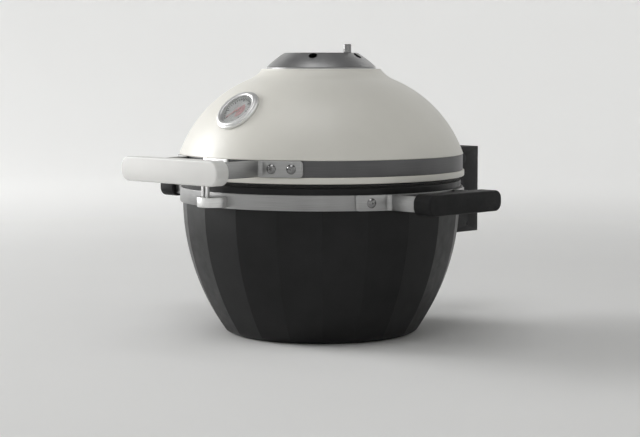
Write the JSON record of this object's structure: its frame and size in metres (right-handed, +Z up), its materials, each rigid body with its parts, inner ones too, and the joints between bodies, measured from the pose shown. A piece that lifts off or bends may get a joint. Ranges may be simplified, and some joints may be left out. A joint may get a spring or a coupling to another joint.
{
  "type": "kamado grill",
  "caption": "Table-top ceramic kamado grill with a hinged domed lid, steel bands, turning top vent, dial thermometer, front catch and side handles",
  "frame": {"origin": "centre of the bowl's foot, on the ground", "axes": "+Z up; the front handle is towards -Y and the hinge towards +Y"},
  "size_m": [0.4008, 0.427, 0.3045],
  "materials": {
    "ivory_glaze": "gloss ivory glaze",
    "charcoal_glaze": "satin charcoal glaze",
    "band_steel": "brushed stainless",
    "bracket_steel": "bright brushed stainless",
    "bolt_steel": "polished",
    "white_grip": "smooth white",
    "black_grip": "matte black",
    "hinge_black": "black powder coat",
    "felt": "dense black felt",
    "fire_ceramic": "bare fired clay",
    "iron": "bare iron",
    "grate_steel": "drawn wire",
    "pin_steel": "turned",
    "pin_black": "black oxide",
    "spring_steel": "drawn wire",
    "dial_chrome": "polished",
    "dial_face": "printed grey",
    "needle_paint": "pale red paint",
    "dial_glass": "clear",
    "vent_metal": "satin"
  },
  "bodies": {
    "base": {"base_bowl": "charcoal_glaze", "base_band": "band_steel", "base_gasket": "felt", "side_grip_right": "black_grip", "side_grip_left": "black_grip", "side_bracket_right_front": "bracket_steel", "side_bracket_right_rear": "bracket_steel", "side_bracket_left_front": "bracket_steel", "side_bracket_left_rear": "bracket_steel", "side_bolts": "bolt_steel", "side_grip_screws": "bolt_steel", "catch_keeper": "bracket_steel", "hinge_housing": "hinge_black", "housing_bolts": "bolt_steel", "hinge_pin": "pin_black", "hinge_pin_clip": "pin_black", "hinge_spring": "spring_steel", "spring_anchor_pin": "pin_black", "fire_grate": "iron", "fire_ring": "fire_ceramic", "heat_deflector": "fire_ceramic", "cooking_grate": "grate_steel"},
    "lid": {"lid_dome": "ivory_glaze", "lid_band": "band_steel", "lid_gasket": "felt", "front_grip": "white_grip", "front_bracket_right": "bracket_steel", "front_bracket_left": "bracket_steel", "front_bolts": "bolt_steel", "front_grip_screws": "bolt_steel", "catch_tongue": "bracket_steel", "catch_bolts": "bolt_steel", "lid_hinge_arm": "hinge_black", "lid_arm_bolts": "bolt_steel", "spring_lever_pin": "pin_black", "thermometer_case": "dial_chrome", "thermometer_dial": "dial_face", "thermometer_glass": "dial_glass", "thermometer_probe": "pin_steel", "thermometer_nut": "pin_steel", "vent_base": "vent_metal", "vent_screw": "bolt_steel", "vent_nut": "pin_steel"},
    "vent": {"vent_cap": "vent_metal", "vent_knob": "bolt_steel"},
    "needle": {"thermometer_needle": "needle_paint"}
  },
  "joints": [
    {"name": "lid_hinge", "type": "hinge", "parent": "base", "child": "lid", "pos_m": [0, 0.182, 0.178], "axis": [-1, 0, 0], "range_deg": [0, 75], "deforming": ["hinge_spring"]},
    {"name": "vent_turn", "type": "hinge", "parent": "lid", "child": "vent", "pos_m": [0, 0, 0.29], "axis": [0, 0, 1], "range_deg": [0, 36]},
    {"name": "needle_turn", "type": "hinge", "parent": "lid", "child": "needle", "pos_m": [0, -0.11893, 0.23559], "axis": [0, 0.7193, -0.6947], "range_deg": [0, 270]}
  ]
}
